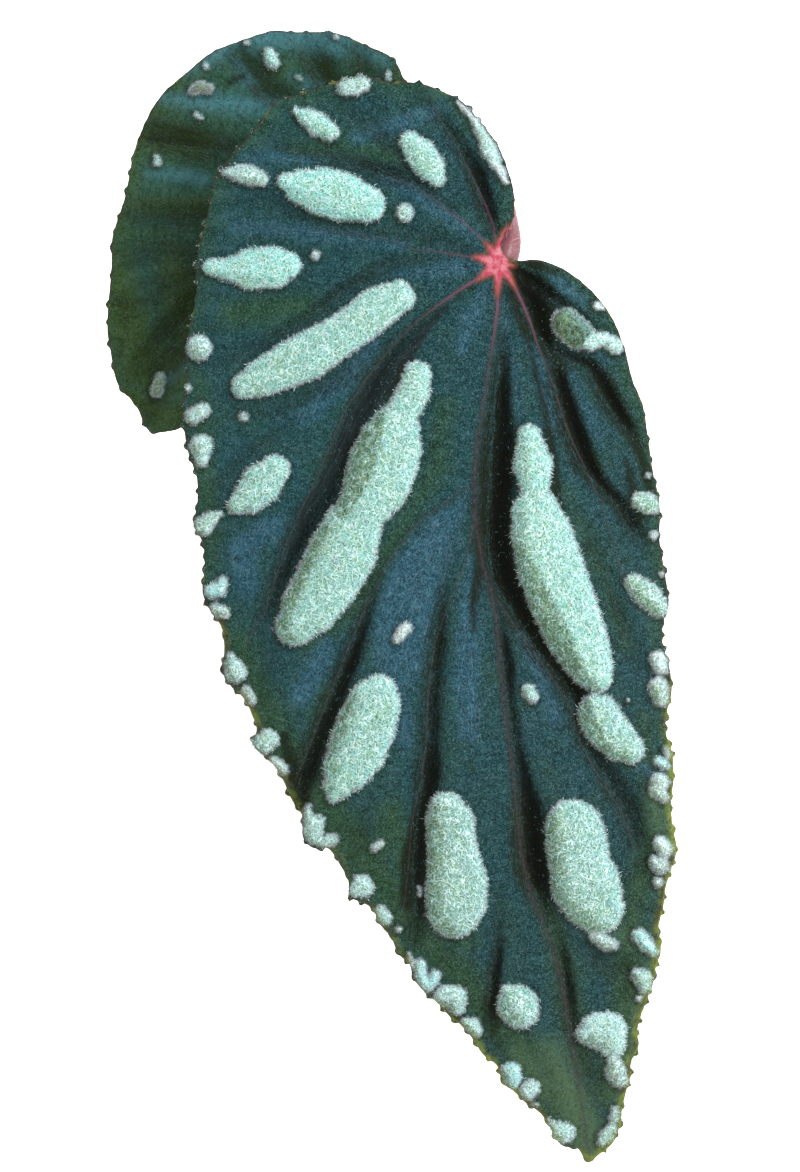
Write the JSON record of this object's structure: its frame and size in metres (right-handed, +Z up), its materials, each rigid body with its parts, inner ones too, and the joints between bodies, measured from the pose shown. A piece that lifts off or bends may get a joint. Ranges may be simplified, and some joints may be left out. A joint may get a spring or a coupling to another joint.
{
  "type": "potted begonia",
  "caption": "Potted begonia with a long ear-shaped spotted leaf over a smaller one, on pink stalks from a short rhizome in a plain clay pot.",
  "frame": {"origin": "middle of the pot's flat underside", "axes": "+Z up out of the pot, the leaves face and lean towards -Y, +X to the right of someone looking at them"},
  "size_m": [0.0968, 0.1692, 0.1367],
  "materials": {
    "clay": "matte",
    "soil": "matte",
    "rhizome": "matte",
    "stalk": "satin",
    "leaf_front": "matte",
    "leaf_back": "matte"
  },
  "bodies": {
    "root": {"pot": "clay", "soil": "soil", "rhizome": "rhizome", "petiole_front": "stalk", "petiole_back": "stalk", "blade_front": "leaf_front", "blade_back": "leaf_back"}
  },
  "joints": []
}
